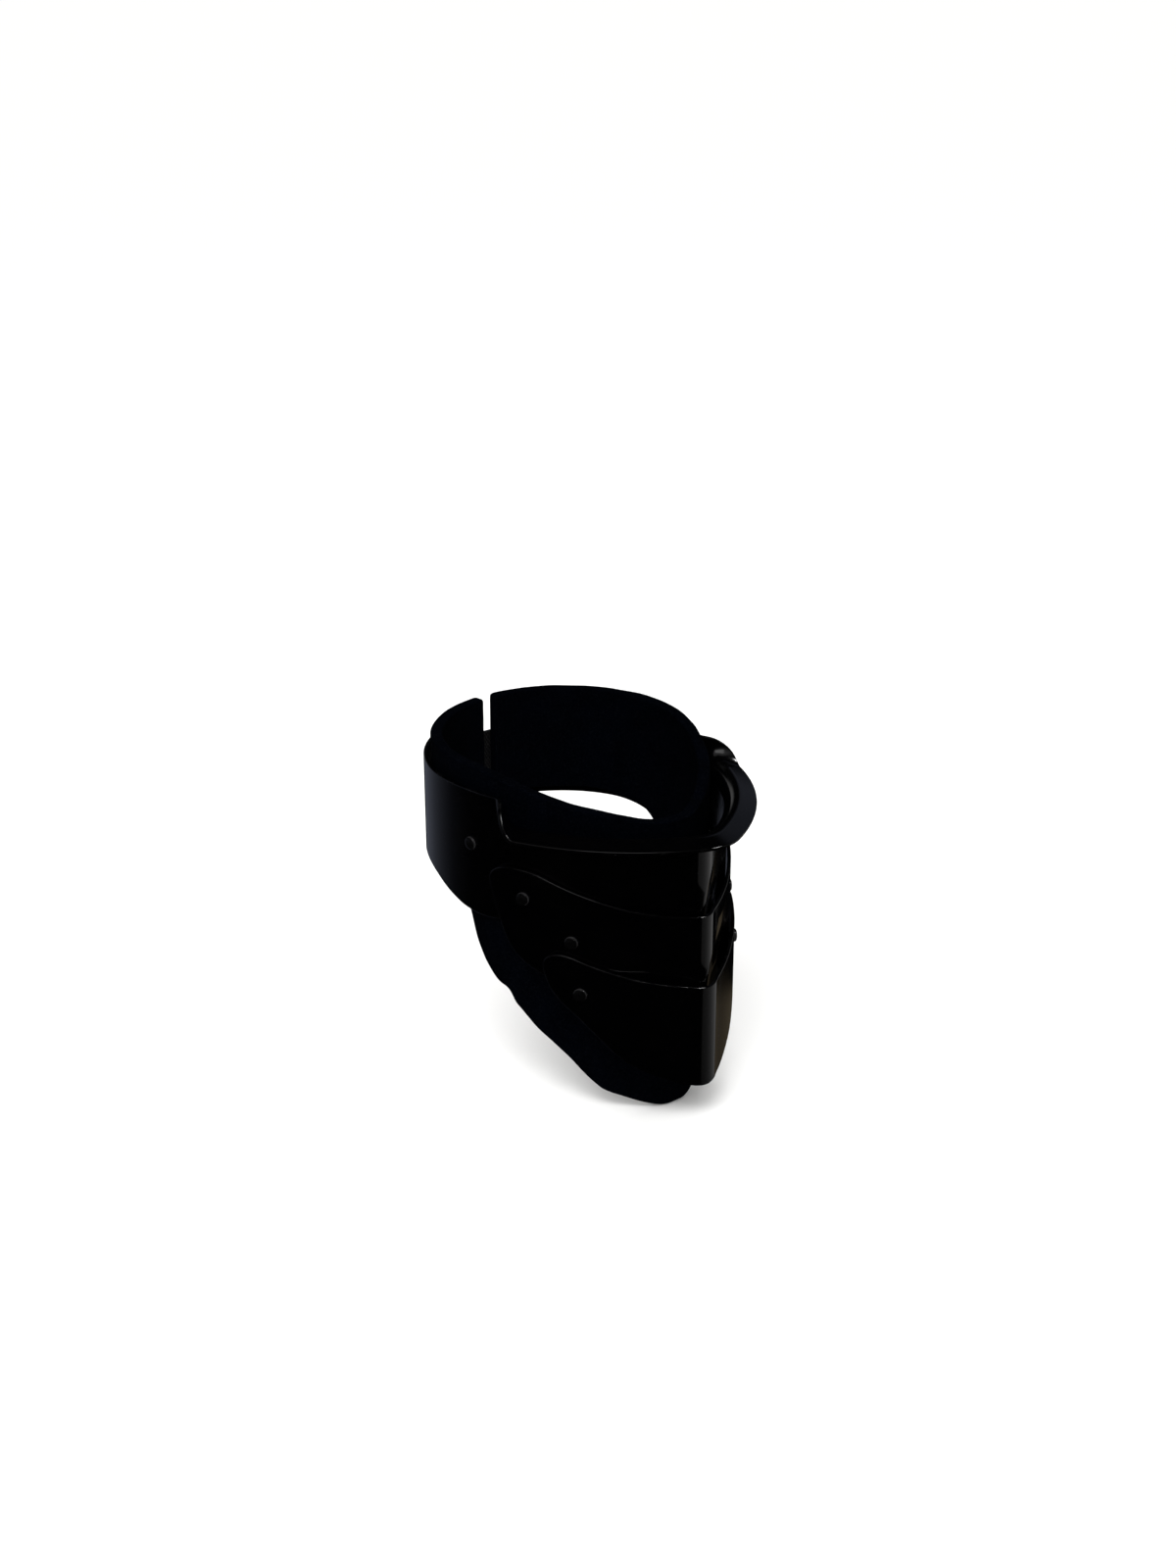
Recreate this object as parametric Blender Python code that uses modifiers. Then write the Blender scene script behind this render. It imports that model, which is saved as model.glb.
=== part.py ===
"""Steel gorget: a standing neck plate with a turned-out chin flange, two lames that
hang on rivets below it in front, and a foam pad that ends in a bib.

Units are metres. +Z is up, the throat faces -Y, and the origin lies on the neck's
axis at the height of the neck plate's lower edge.
"""
from math import atan2, cos, pi, radians, sin

import bmesh
import bpy
from mathutils import Matrix, Vector

# Driving dimensions of the neck plate
HALF_WIDTH = 0.069
FRONT_REACH = 0.103
KEEL_RADIUS = 0.012
PLATE = 0.0018
BAND_HEIGHT = 0.060
FOLD_HEIGHT = 0.043
BEND_LENGTH = 0.0095
FLANGE_TURN = radians(108.0)
FLANGE_END = 0.103
FLANGE_START = 0.086
BACK_GAP = 0.016

# Driving dimensions of the lames: each hangs on the pair of rivets that it turns on
LAME_GAP = 0.0008
UPPER_PIVOT_HEIGHT = 0.0133
MIDDLE_REACH = 0.1056
MIDDLE_EAR_END = 0.0193
MIDDLE_EAR_RISE = 0.0145
MIDDLE_HEIGHT = 0.0704
LOWER_PIVOT_DROP = 0.0442
LOWER_REACH = 0.076
LOWER_EAR_END = 0.0181
LOWER_EAR_RISE = 0.0195
LOWER_HEIGHT = 0.0708

# Driving dimensions of the foam pad
PAD_GAP = 0.0016
PAD_THICKNESS = 0.006
PAD_FRONT_ROOM = 0.017
PAD_NOSE_RADIUS = 0.030
PAD_BACK_GAP = 0.008
PAD_TOP = 0.0705
PAD_DROP = 0.101

# Driving dimensions of the rivets and of the strap that closes the back
RIVET_HEAD_RADIUS = 0.0033
RIVET_HEAD_HEIGHT = 0.0017
RIVET_SHANK_RADIUS = 0.0017
RIVET_TAIL_RADIUS = 0.0028
RIVET_TAIL_HEIGHT = 0.0008
RIVET_CLEARANCE = 0.0003
STRAP_LENGTH = 0.060
STRAP_WIDTH = 0.026
STRAP_THICKNESS = 0.0022
STRAP_HEIGHT = 0.035
STRAP_CLEARANCE = 0.0003

# How finely curved surfaces are divided
KEEL_CROWDING = 1.35
PLATE_COLUMNS = 44
PLATE_ROWS = 5
FOLD_ROWS = 9
PAD_COLUMNS = 44
PAD_ROWS = 6
RIVET_SIDES = 14
STRAP_COLUMNS = 10

# Height of the neck plate's lower edge: share of its half girth, share of BAND_HEIGHT
BAND_LOWER_EDGE = (
    # along, height
    (0.00, -0.100),
    (0.10, -0.075),
    (0.19, -0.005),
    (0.28, 0.050),
    (0.36, 0.010),
    (0.45, -0.047),
    (0.51, -0.033),
    (0.56, 0.030),
    (0.62, 0.115),
    (0.68, 0.155),
    (0.80, 0.167),
    (1.00, 0.167),
)

# Sections across the middle lame: shares of MIDDLE_REACH along, of MIDDLE_HEIGHT down
MIDDLE_SECTIONS = (
    # upper along, upper drop, lower along, lower drop
    (0.000, 0.295, 0.000, 0.992),
    (0.095, 0.285, 0.095, 0.996),
    (0.237, 0.253, 0.227, 1.000),
    (0.379, 0.203, 0.360, 1.000),
    (0.521, 0.139, 0.483, 0.984),
    (0.644, 0.077, 0.578, 0.913),
    (0.758, 0.014, 0.672, 0.786),
    (0.843, 0.000, 0.758, 0.722),
    (0.919, 0.007, 0.845, 0.646),
    (0.971, 0.040, 0.904, 0.530),
    (0.994, 0.085, 0.950, 0.359),
    (1.000, 0.115, 0.980, 0.220),
)

# Sections across the lower lame: shares of LOWER_REACH along, of LOWER_HEIGHT down
LOWER_SECTIONS = (
    # upper along, upper drop, lower along, lower drop
    (0.000, 0.251, 0.000, 1.000),
    (0.132, 0.226, 0.145, 0.962),
    (0.289, 0.193, 0.289, 0.893),
    (0.447, 0.150, 0.434, 0.814),
    (0.592, 0.100, 0.566, 0.695),
    (0.724, 0.051, 0.691, 0.548),
    (0.822, 0.011, 0.789, 0.441),
    (0.895, 0.000, 0.875, 0.356),
    (0.951, 0.014, 0.938, 0.277),
    (0.989, 0.045, 0.976, 0.192),
    (1.000, 0.086, 0.995, 0.128),
)

# Top edge of the pad: share of its half girth, share of PAD_TOP
PAD_UPPER_EDGE = (
    # along, height
    (0.00, 0.709),
    (0.06, 0.716),
    (0.17, 0.783),
    (0.25, 0.837),
    (0.33, 0.894),
    (0.40, 0.950),
    (0.48, 0.990),
    (0.58, 1.000),
    (1.00, 1.000),
)

# Lower edge of the pad and its bib: share of its half girth, share of PAD_DROP
PAD_LOWER_EDGE = (
    # along, height
    (0.000, -1.000),
    (0.036, -0.998),
    (0.093, -0.960),
    (0.158, -0.906),
    (0.188, -0.861),
    (0.250, -0.723),
    (0.324, -0.589),
    (0.382, -0.473),
    (0.400, -0.406),
    (0.428, -0.376),
    (0.462, -0.297),
    (0.488, -0.196),
    (0.507, -0.060),
    (0.530, 0.040),
    (0.570, 0.100),
    (0.700, 0.150),
    (1.000, 0.160),
)

LAYER = PLATE + LAME_GAP
UPPER_PIVOT_ALONG = MIDDLE_REACH - MIDDLE_EAR_END
MIDDLE_TOP = UPPER_PIVOT_HEIGHT + MIDDLE_EAR_RISE
LOWER_PIVOT_ALONG = LOWER_REACH - LOWER_EAR_END
LOWER_PIVOT_HEIGHT = UPPER_PIVOT_HEIGHT - LOWER_PIVOT_DROP
LOWER_TOP = LOWER_PIVOT_HEIGHT + LOWER_EAR_RISE


class Plan:
    """The egg-shaped curve that the plates follow, seen from above."""

    def __init__(self, half_width, front, nose_radius):
        self.half_width = half_width
        self.nose_centre = front - nose_radius
        self.nose_radius = nose_radius
        spread = half_width - nose_radius
        self.side_radius = (half_width**2 + self.nose_centre**2 - nose_radius**2) / (2 * spread)
        self.nose_turn = atan2(self.side_radius - half_width, self.nose_centre)
        self.nose_length = nose_radius * self.nose_turn
        self.side_end = self.nose_length + self.side_radius * (pi / 2 - self.nose_turn)
        self.half_girth = self.side_end + half_width * pi / 2

    def place(self, along):
        """The point and the outward direction at a distance along from the keel."""
        distance = abs(along)
        if distance < self.nose_length:
            turn = distance / self.nose_radius
            centre, radius = Vector((0, -self.nose_centre, 0)), self.nose_radius
        elif distance < self.side_end:
            turn = self.nose_turn + (distance - self.nose_length) / self.side_radius
            centre, radius = Vector((self.half_width - self.side_radius, 0, 0)), self.side_radius
        else:
            turn = pi / 2 + (distance - self.side_end) / self.half_width
            centre, radius = Vector((0, 0, 0)), self.half_width
        outward = Vector((sin(turn), -cos(turn), 0))
        point = centre + radius * outward
        if along < 0:
            point.x, outward.x = -point.x, -outward.x
        return point, outward


PLATE_PLAN = Plan(HALF_WIDTH, FRONT_REACH, KEEL_RADIUS)
PAD_PLAN = Plan(HALF_WIDTH - PLATE - PAD_GAP, FRONT_REACH - PAD_FRONT_ROOM, PAD_NOSE_RADIUS)

# Rivets on the wearer's left: distance along, height, and the layers of plate they join
RIVETS = (
    # name, along, height, innermost layer, outermost layer
    ("band_rivet", 0.492 * PLATE_PLAN.half_girth, 0.548 * BAND_HEIGHT, 0, 0),
    ("upper_pivot_rivet", UPPER_PIVOT_ALONG, UPPER_PIVOT_HEIGHT, 0, 1),
    ("middle_rivet", 0.593 * MIDDLE_REACH, MIDDLE_TOP - 0.473 * MIDDLE_HEIGHT, 1, 1),
    ("lower_pivot_rivet", LOWER_PIVOT_ALONG, LOWER_PIVOT_HEIGHT, 1, 2),
)


def smooth_rows(rows, position):
    """Reads a table at a fractional row number along a smooth curve through its rows."""
    last = len(rows) - 1
    index = min(int(position), last - 1)
    share = position - index
    before, start, end, after = (rows[min(max(index + step, 0), last)] for step in (-1, 0, 1, 2))
    values = []
    for p, a, b, n in zip(before, start, end, after):
        cubic = (3 * (a - b) + n - p) * share**3
        square = (2 * p - 5 * a + 4 * b - n) * share**2
        values.append(a + (cubic + square + (b - p) * share) / 2)
    return values


def height_at(rows, share):
    """Reads a table of along, height at a share of its length."""
    low = max(i for i in range(len(rows) - 1) if rows[i][0] <= share)
    span = rows[low + 1][0] - rows[low][0]
    return smooth_rows(rows, low + (share - rows[low][0]) / span)[1]


def ease(share):
    """A step from 0 to 1 that starts and ends level."""
    share = min(max(share, 0.0), 1.0)
    return share * share * (3 - 2 * share)


def new_collection(name):
    collection = bpy.data.collections.new(name)
    bpy.context.scene.collection.children.link(collection)
    return collection


def new_material(name, colour, roughness, metallic=0.0, coat=0.0):
    material = bpy.data.materials.new(name)
    material.use_nodes = True
    shader = material.node_tree.nodes["Principled BSDF"]
    shader.inputs["Base Color"].default_value = (*colour, 1.0)
    shader.inputs["Roughness"].default_value = roughness
    shader.inputs["Metallic"].default_value = metallic
    shader.inputs["Coat Weight"].default_value = coat
    material.diffuse_color = (*colour, 1.0)
    return material


def add_object(name, mesh, collection, material=None):
    part = bpy.data.objects.new(name, mesh)
    collection.objects.link(part)
    if material:
        mesh.materials.append(material)
    return part


def grid_object(name, columns, collection, material):
    """An open surface through columns of points, each column from low to high."""
    model = bmesh.new()
    rows = [[model.verts.new(point) for point in column] for column in columns]
    for left, right in zip(rows, rows[1:]):
        for low in range(len(left) - 1):
            model.faces.new((left[low], right[low], right[low + 1], left[low + 1]))
    mesh = bpy.data.meshes.new(name)
    model.to_mesh(mesh)
    model.free()
    mesh.shade_smooth()
    return add_object(name, mesh, collection, material)


def give_wall(part, thickness):
    """Grows an open surface inwards to a wall."""
    wall = part.modifiers.new("Wall", "SOLIDIFY")
    wall.thickness = thickness
    wall.offset = -1.0
    wall.use_even_offset = True


def mirrored_shares(columns):
    """Shares from -1 to 1, closer together towards the keel, where the curve is tight."""
    for step in range(-columns, columns + 1):
        side = -1 if step < 0 else 1
        yield side * abs(step / columns) ** KEEL_CROWDING


def neck_plate_column(along, lower, upper, turn):
    """Points up the neck plate: a straight wall, then a strip that turns outwards."""
    point, outward = PLATE_PLAN.place(along)
    fold = min(FOLD_HEIGHT, upper)
    column = []
    for row in range(PLATE_ROWS):
        height = lower + (fold - lower) * row / PLATE_ROWS
        column.append(point + Vector((0, 0, height)))
    place = point + Vector((0, 0, fold))
    column.append(place.copy())
    step = (upper - fold) / FOLD_ROWS
    for row in range(FOLD_ROWS):
        angle = turn * min((row + 0.5) * step / BEND_LENGTH, 1.0)
        place = place + step * (sin(angle) * outward + Vector((0, 0, cos(angle))))
        column.append(place.copy())
    return column


def make_neck_plate(collection, material):
    end = PLATE_PLAN.half_girth - BACK_GAP / 2
    columns = []
    for share in mirrored_shares(PLATE_COLUMNS):
        along = share * end
        lower = BAND_HEIGHT * height_at(BAND_LOWER_EDGE, abs(along) / PLATE_PLAN.half_girth)
        turn = FLANGE_TURN * ease((FLANGE_END - abs(along)) / (FLANGE_END - FLANGE_START))
        columns.append(neck_plate_column(along, lower, BAND_HEIGHT, turn))
    plate = grid_object("neck_plate", columns, collection, material)
    give_wall(plate, PLATE)
    return plate


def make_lame(name, sections, reach, top, height, layer, collection, material):
    """A plate that follows the neck plate's curve on a layer outside it."""
    columns = []
    last = len(sections) - 1
    for share in mirrored_shares(PLATE_COLUMNS // 2):
        side = -1 if share < 0 else 1
        high, high_drop, low, low_drop = smooth_rows(sections, abs(share) * last)
        column = []
        for row in range(PLATE_ROWS + 1):
            mix = row / PLATE_ROWS
            along = side * reach * (low + (high - low) * mix)
            drop = low_drop + (high_drop - low_drop) * mix
            point, outward = PLATE_PLAN.place(along)
            column.append(point + layer * LAYER * outward + Vector((0, 0, top - height * drop)))
        columns.append(column)
    plate = grid_object(name, columns, collection, material)
    give_wall(plate, PLATE)
    return plate


def make_pad(collection, material):
    end = PAD_PLAN.half_girth - PAD_BACK_GAP / 2
    columns = []
    for share in mirrored_shares(PAD_COLUMNS):
        point, _ = PAD_PLAN.place(share * end)
        upper = PAD_TOP * height_at(PAD_UPPER_EDGE, abs(share))
        lower = PAD_DROP * height_at(PAD_LOWER_EDGE, abs(share))
        column = []
        for row in range(PAD_ROWS + 1):
            column.append(point + Vector((0, 0, lower + (upper - lower) * row / PAD_ROWS)))
        columns.append(column)
    pad = grid_object("neck_pad", columns, collection, material)
    give_wall(pad, PAD_THICKNESS)
    return pad


def rivet_profile(grip):
    """Half outline of a rivet from the top of its head down to its tail."""
    head, rise = RIVET_HEAD_RADIUS, RIVET_HEAD_HEIGHT
    tail_start = -grip - 2 * RIVET_CLEARANCE
    return (
        (0.0, rise),
        (0.55 * head, 0.96 * rise),
        (0.80 * head, 0.80 * rise),
        (0.93 * head, 0.55 * rise),
        (head, 0.15 * rise),
        (head, 0.0),
        (RIVET_SHANK_RADIUS, 0.0),
        (RIVET_SHANK_RADIUS, tail_start),
        (RIVET_TAIL_RADIUS, tail_start),
        (RIVET_TAIL_RADIUS, tail_start - 0.6 * RIVET_TAIL_HEIGHT),
        (0.6 * RIVET_TAIL_RADIUS, tail_start - RIVET_TAIL_HEIGHT),
        (0.0, tail_start - RIVET_TAIL_HEIGHT),
    )


def turned_mesh(name, profile):
    """A profile in the XZ plane, ready for a Screw modifier."""
    model = bmesh.new()
    points = [model.verts.new((radius, 0.0, height)) for radius, height in profile]
    for start, end in zip(points, points[1:]):
        model.edges.new((start, end))
    mesh = bpy.data.meshes.new(name)
    model.to_mesh(mesh)
    model.free()
    return mesh


def rivet_place(along, height, layer):
    """The rivet's frame: its origin on a layer's outer face, its local Z outwards."""
    point, outward = PLATE_PLAN.place(along)
    origin = point + layer * LAYER * outward + Vector((0, 0, height))
    return Matrix.Translation(origin) @ outward.to_track_quat("Z", "Y").to_matrix().to_4x4()


def make_rivet(name, along, height, inner, outer, collection, material):
    grip = PLATE + (outer - inner) * LAYER
    rivet = add_object(name, turned_mesh(name, rivet_profile(grip)), collection, material)
    rivet.matrix_world = rivet_place(along, height, outer) @ Matrix.Translation((0, 0, RIVET_CLEARANCE))
    turn = rivet.modifiers.new("Turn", "SCREW")
    turn.angle = 2 * pi
    turn.steps = RIVET_SIDES
    turn.render_steps = RIVET_SIDES
    turn.use_merge_vertices = True
    turn.merge_threshold = 0.00001
    return rivet


def cut_holes(plate, layer, cutters):
    """Cuts the hole of each rivet that passes through a plate on a layer."""
    model = bmesh.new()
    for _, along, height, inner, outer in RIVETS:
        if not inner <= layer <= outer:
            continue
        for side in (-1, 1):
            bmesh.ops.create_cone(
                model,
                cap_ends=True,
                segments=RIVET_SIDES,
                radius1=RIVET_SHANK_RADIUS + RIVET_CLEARANCE,
                radius2=RIVET_SHANK_RADIUS + RIVET_CLEARANCE,
                depth=4 * PLATE,
                matrix=rivet_place(side * along, height, layer),
            )
    mesh = bpy.data.meshes.new(plate.name + "_holes")
    model.to_mesh(mesh)
    model.free()
    cutter = add_object(mesh.name, mesh, cutters)
    cutter.hide_render = True
    cutter.display_type = "WIRE"
    cut = plate.modifiers.new("Rivet holes", "BOOLEAN")
    cut.object = cutter
    cut.solver = "EXACT"


def make_back_strap(collection, material):
    """A plain strap that bridges the neck plate's opening at the nape."""
    columns = []
    for step in range(STRAP_COLUMNS + 1):
        along = PLATE_PLAN.half_girth + STRAP_LENGTH * (step / STRAP_COLUMNS - 0.5)
        point, outward = PLATE_PLAN.place(along)
        point = point + (STRAP_CLEARANCE + STRAP_THICKNESS) * outward
        column = []
        for edge in (-0.5, 0.5):
            column.append(point + Vector((0, 0, STRAP_HEIGHT + edge * STRAP_WIDTH)))
        columns.append(column)
    strap = grid_object("back_strap", columns, collection, material)
    give_wall(strap, STRAP_THICKNESS)
    return strap


def main():
    for old in list(bpy.data.objects):
        bpy.data.objects.remove(old, do_unlink=True)
    parts = new_collection("steel_gorget")
    cutters = new_collection("cutters")
    plate_paint = new_material("black_gloss_plate", (0.012, 0.012, 0.014), 0.16, coat=0.6)
    rivet_paint = new_material("dark_satin_rivet", (0.055, 0.055, 0.060), 0.34, metallic=0.5)
    foam = new_material("speckled_foam", (0.020, 0.023, 0.032), 0.92)
    strap_web = new_material("black_webbing", (0.015, 0.015, 0.017), 0.80)

    neck_plate = make_neck_plate(parts, plate_paint)
    middle_lame = make_lame(
        "middle_lame", MIDDLE_SECTIONS, MIDDLE_REACH, MIDDLE_TOP, MIDDLE_HEIGHT, 1, parts, plate_paint
    )
    lower_lame = make_lame(
        "lower_lame", LOWER_SECTIONS, LOWER_REACH, LOWER_TOP, LOWER_HEIGHT, 2, parts, plate_paint
    )
    for layer, plate in enumerate((neck_plate, middle_lame, lower_lame)):
        cut_holes(plate, layer, cutters)
    for name, along, height, inner, outer in RIVETS:
        make_rivet(name + "_left", along, height, inner, outer, parts, rivet_paint)
        make_rivet(name + "_right", -along, height, inner, outer, parts, rivet_paint)
    make_pad(parts, foam)
    make_back_strap(parts, strap_web)


main()
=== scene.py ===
"""Dresses the steel gorget: gloss black plates, satin rivets, a foam pad and a nape strap."""

from math import atan2, cos, pi, radians, sin, tan

import bpy
from mathutils import Matrix, Vector, kdtree, noise
from mathutils.geometry import delaunay_2d_cdt


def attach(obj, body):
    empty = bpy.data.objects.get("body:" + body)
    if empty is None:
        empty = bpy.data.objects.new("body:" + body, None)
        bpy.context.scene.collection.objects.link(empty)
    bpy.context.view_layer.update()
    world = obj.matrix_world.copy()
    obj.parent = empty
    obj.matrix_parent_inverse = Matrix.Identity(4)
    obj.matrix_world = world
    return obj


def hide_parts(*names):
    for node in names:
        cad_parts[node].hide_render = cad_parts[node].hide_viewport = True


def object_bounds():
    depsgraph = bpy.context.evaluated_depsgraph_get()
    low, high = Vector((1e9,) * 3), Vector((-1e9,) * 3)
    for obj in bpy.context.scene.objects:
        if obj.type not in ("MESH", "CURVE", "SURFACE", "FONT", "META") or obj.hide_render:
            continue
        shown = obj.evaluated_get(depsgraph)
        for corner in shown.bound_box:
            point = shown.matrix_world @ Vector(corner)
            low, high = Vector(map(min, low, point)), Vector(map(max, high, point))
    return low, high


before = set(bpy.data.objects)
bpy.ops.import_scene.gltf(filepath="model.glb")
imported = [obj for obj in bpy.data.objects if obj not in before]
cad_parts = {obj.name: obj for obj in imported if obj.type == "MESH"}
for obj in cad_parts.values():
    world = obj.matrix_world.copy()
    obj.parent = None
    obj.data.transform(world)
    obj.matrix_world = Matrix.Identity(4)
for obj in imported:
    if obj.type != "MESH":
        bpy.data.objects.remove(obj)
cad_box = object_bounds()

# Sizes of the plates, in metres, as the part has them
HALF_WIDTH, FRONT_REACH, KEEL_RADIUS = 0.069, 0.103, 0.012
PLATE, LAME_GAP = 0.0018, 0.0008
LAYER = PLATE + LAME_GAP
BAND_HEIGHT, FOLD_HEIGHT, BEND_LENGTH = 0.060, 0.043, 0.0095
FLANGE_TURN, FLANGE_END, FLANGE_START = radians(108.0), 0.103, 0.086
BACK_GAP = 0.016
UPPER_PIVOT_HEIGHT = 0.0133
MIDDLE_REACH, MIDDLE_EAR_END, MIDDLE_EAR_RISE, MIDDLE_HEIGHT = 0.1056, 0.0193, 0.0145, 0.0704
LOWER_PIVOT_DROP = 0.0442
LOWER_REACH, LOWER_EAR_END, LOWER_EAR_RISE, LOWER_HEIGHT = 0.076, 0.0181, 0.0195, 0.0708
UPPER_PIVOT_ALONG = MIDDLE_REACH - MIDDLE_EAR_END
MIDDLE_TOP = UPPER_PIVOT_HEIGHT + MIDDLE_EAR_RISE
LOWER_PIVOT_ALONG = LOWER_REACH - LOWER_EAR_END
LOWER_PIVOT_HEIGHT = UPPER_PIVOT_HEIGHT - LOWER_PIVOT_DROP
LOWER_TOP = LOWER_PIVOT_HEIGHT + LOWER_EAR_RISE

# Sizes of the foam pad
PAD_GAP, PAD_THICKNESS, PAD_FRONT_ROOM, PAD_NOSE_RADIUS = 0.0016, 0.006, 0.017, 0.030
PAD_BACK_GAP, PAD_TOP, PAD_DROP = 0.008, 0.0705, 0.101

# Sizes of the rivets and of the strap
RIVET_HEAD_RADIUS, RIVET_HEAD_HEIGHT, RIVET_SHANK_RADIUS = 0.0033, 0.0017, 0.0017
RIVET_TAIL_RADIUS, RIVET_TAIL_HEIGHT, RIVET_CLEARANCE = 0.0028, 0.0008, 0.0003
STRAP_LENGTH, STRAP_WIDTH, STRAP_THICKNESS = 0.060, 0.026, 0.0022
STRAP_HEIGHT, STRAP_CLEARANCE = 0.035, 0.0003

# A rivet's head: fullness of its crown, share of its height at the edge, start and end of its
# shoulder as shares of the radius
RIVET_CROWN, RIVET_EDGE, RIVET_SHOULDER = 2.7, 0.12, (0.72, 0.82)

# The box of stitches at each end of the strap: its length, its distance from the edges, one stitch
STITCH_BOX, STITCH_INSET = 0.0145, 0.003
STITCH_LENGTH, STITCH_THREAD, STITCH_PITCH = 0.0021, 0.00055, 0.0029

# How the sheet metal and the foam are finished at their cut edges
RIM_STEPS = 4
PLATE_EDGE_ROUND = 0.00055
PAD_EDGE_ROUND = 0.0011
STRAP_EDGE_ROUND = 0.0009
RIM_BAND = 0.006

# Spacing of the points that outlines are drawn with and cut to, and of the nets inside them
DRAWN_STEP, CUT_STEP, TABLE_STEP = 0.0005, 0.0010, 0.0008
NET_STEP, KEEL_STEP, FINE_STEP, FOLD_STEP = 0.0024, 0.0006, 0.0011, 0.0007
PAD_DRAWN_STEP, PAD_CUT_STEP, PAD_NET_STEP = 0.0006, 0.0012, 0.0026
PAD_KEEL_STEP, PAD_RISE_STEP = 0.0020, 0.0028
STRAP_CUT_STEP, STRAP_NET_STEP = 0.0008, 0.0015
# How far a net's points keep from outlines and creases
CREASE_ROOM, LEAST_ROOM, ROOM_SHARE, ROOM_STEP = 0.0008, 0.0007, 0.55, 0.0022
# How many times the corners of an outline are eased
BAND_ROUNDS, LAME_ROUNDS, PAD_ROUNDS, STRAP_ROUNDS = 24, 30, 10, 30
HOLE_RADIUS, HOLE_SIDES = 0.002, 20

# Below this line above the next lame's rim a plate leans inwards a little, to clear that lame
NECK_TUCK_START, MIDDLE_TUCK_START = 0.0118, 0.0088
TUCK_RISE, TUCK_MOST, TUCK_UNDER = 1.35, 0.027, 0.003
TUCK_EASE, TUCK_SLOPE, TUCK_FULL, TUCK_END = 0.0012, tan(radians(6.5)), 0.026, 0.048
CREASE_STEP = 0.0008
# The lames are hammered a little closer than the neck plate at either side of the keel
PINCH, PINCH_PEAK, PINCH_END = 0.0009, 0.0090, 0.060

# Height of the neck plate's lower edge: share of its half girth, share of BAND_HEIGHT
BAND_LOWER_EDGE = (
    (0.00, -0.100), (0.10, -0.075), (0.19, -0.005), (0.28, 0.050), (0.36, 0.010), (0.45, -0.047),
    (0.51, -0.033), (0.56, 0.030), (0.62, 0.115), (0.68, 0.155), (0.80, 0.167), (1.00, 0.167),
)

# Sections across the lames: upper along, upper drop, lower along, lower drop
MIDDLE_SECTIONS = (
    (0.000, 0.295, 0.000, 0.992), (0.095, 0.285, 0.095, 0.996), (0.237, 0.253, 0.227, 1.000),
    (0.379, 0.203, 0.360, 1.000), (0.521, 0.139, 0.483, 0.984), (0.644, 0.077, 0.578, 0.913),
    (0.758, 0.014, 0.672, 0.786), (0.843, 0.000, 0.758, 0.722), (0.919, 0.007, 0.845, 0.646),
    (0.971, 0.040, 0.904, 0.530), (0.994, 0.085, 0.950, 0.359), (1.000, 0.115, 0.980, 0.220),
)
LOWER_SECTIONS = (
    (0.000, 0.251, 0.000, 1.000), (0.132, 0.226, 0.145, 0.962), (0.289, 0.193, 0.289, 0.893),
    (0.447, 0.150, 0.434, 0.814), (0.592, 0.100, 0.566, 0.695), (0.724, 0.051, 0.691, 0.548),
    (0.822, 0.011, 0.789, 0.441), (0.895, 0.000, 0.875, 0.356), (0.951, 0.014, 0.938, 0.277),
    (0.989, 0.045, 0.976, 0.192), (1.000, 0.086, 0.995, 0.128),
)

# Edges of the pad: share of its half girth, share of PAD_TOP or PAD_DROP
PAD_UPPER_EDGE = (
    (0.00, 0.709), (0.06, 0.716), (0.17, 0.783), (0.25, 0.837), (0.33, 0.894), (0.40, 0.950),
    (0.48, 0.990), (0.58, 1.000), (1.00, 1.000),
)
PAD_LOWER_EDGE = (
    (0.000, -1.000), (0.036, -0.998), (0.093, -0.960), (0.158, -0.906), (0.188, -0.861),
    (0.250, -0.723), (0.324, -0.589), (0.382, -0.473), (0.400, -0.406), (0.428, -0.376),
    (0.462, -0.297), (0.488, -0.196), (0.507, -0.060), (0.530, 0.040), (0.570, 0.100),
    (0.700, 0.150), (1.000, 0.160),
)


# ---- curves and tables

class Plan:
    """The egg-shaped curve that a sheet follows, seen from above."""

    def __init__(self, half_width, front, nose_radius):
        self.half_width = half_width
        self.nose_centre = front - nose_radius
        self.nose_radius = nose_radius
        spread = half_width - nose_radius
        self.side_radius = (half_width**2 + self.nose_centre**2 - nose_radius**2) / (2 * spread)
        self.nose_turn = atan2(self.side_radius - half_width, self.nose_centre)
        self.nose_length = nose_radius * self.nose_turn
        self.side_end = self.nose_length + self.side_radius * (pi / 2 - self.nose_turn)
        self.half_girth = self.side_end + half_width * pi / 2

    def place(self, along):
        """The point and the outward direction at a distance along from the keel."""
        distance = abs(along)
        if distance < self.nose_length:
            turn = distance / self.nose_radius
            centre, radius = Vector((0, -self.nose_centre, 0)), self.nose_radius
        elif distance < self.side_end:
            turn = self.nose_turn + (distance - self.nose_length) / self.side_radius
            centre, radius = Vector((self.half_width - self.side_radius, 0, 0)), self.side_radius
        else:
            turn = pi / 2 + (distance - self.side_end) / self.half_width
            centre, radius = Vector((0, 0, 0)), self.half_width
        outward = Vector((sin(turn), -cos(turn), 0))
        point = centre + radius * outward
        if along < 0:
            point.x, outward.x = -point.x, -outward.x
        return point, outward


PLATE_PLAN = Plan(HALF_WIDTH, FRONT_REACH, KEEL_RADIUS)
PAD_PLAN = Plan(HALF_WIDTH - PLATE - PAD_GAP, FRONT_REACH - PAD_FRONT_ROOM, PAD_NOSE_RADIUS)

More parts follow.
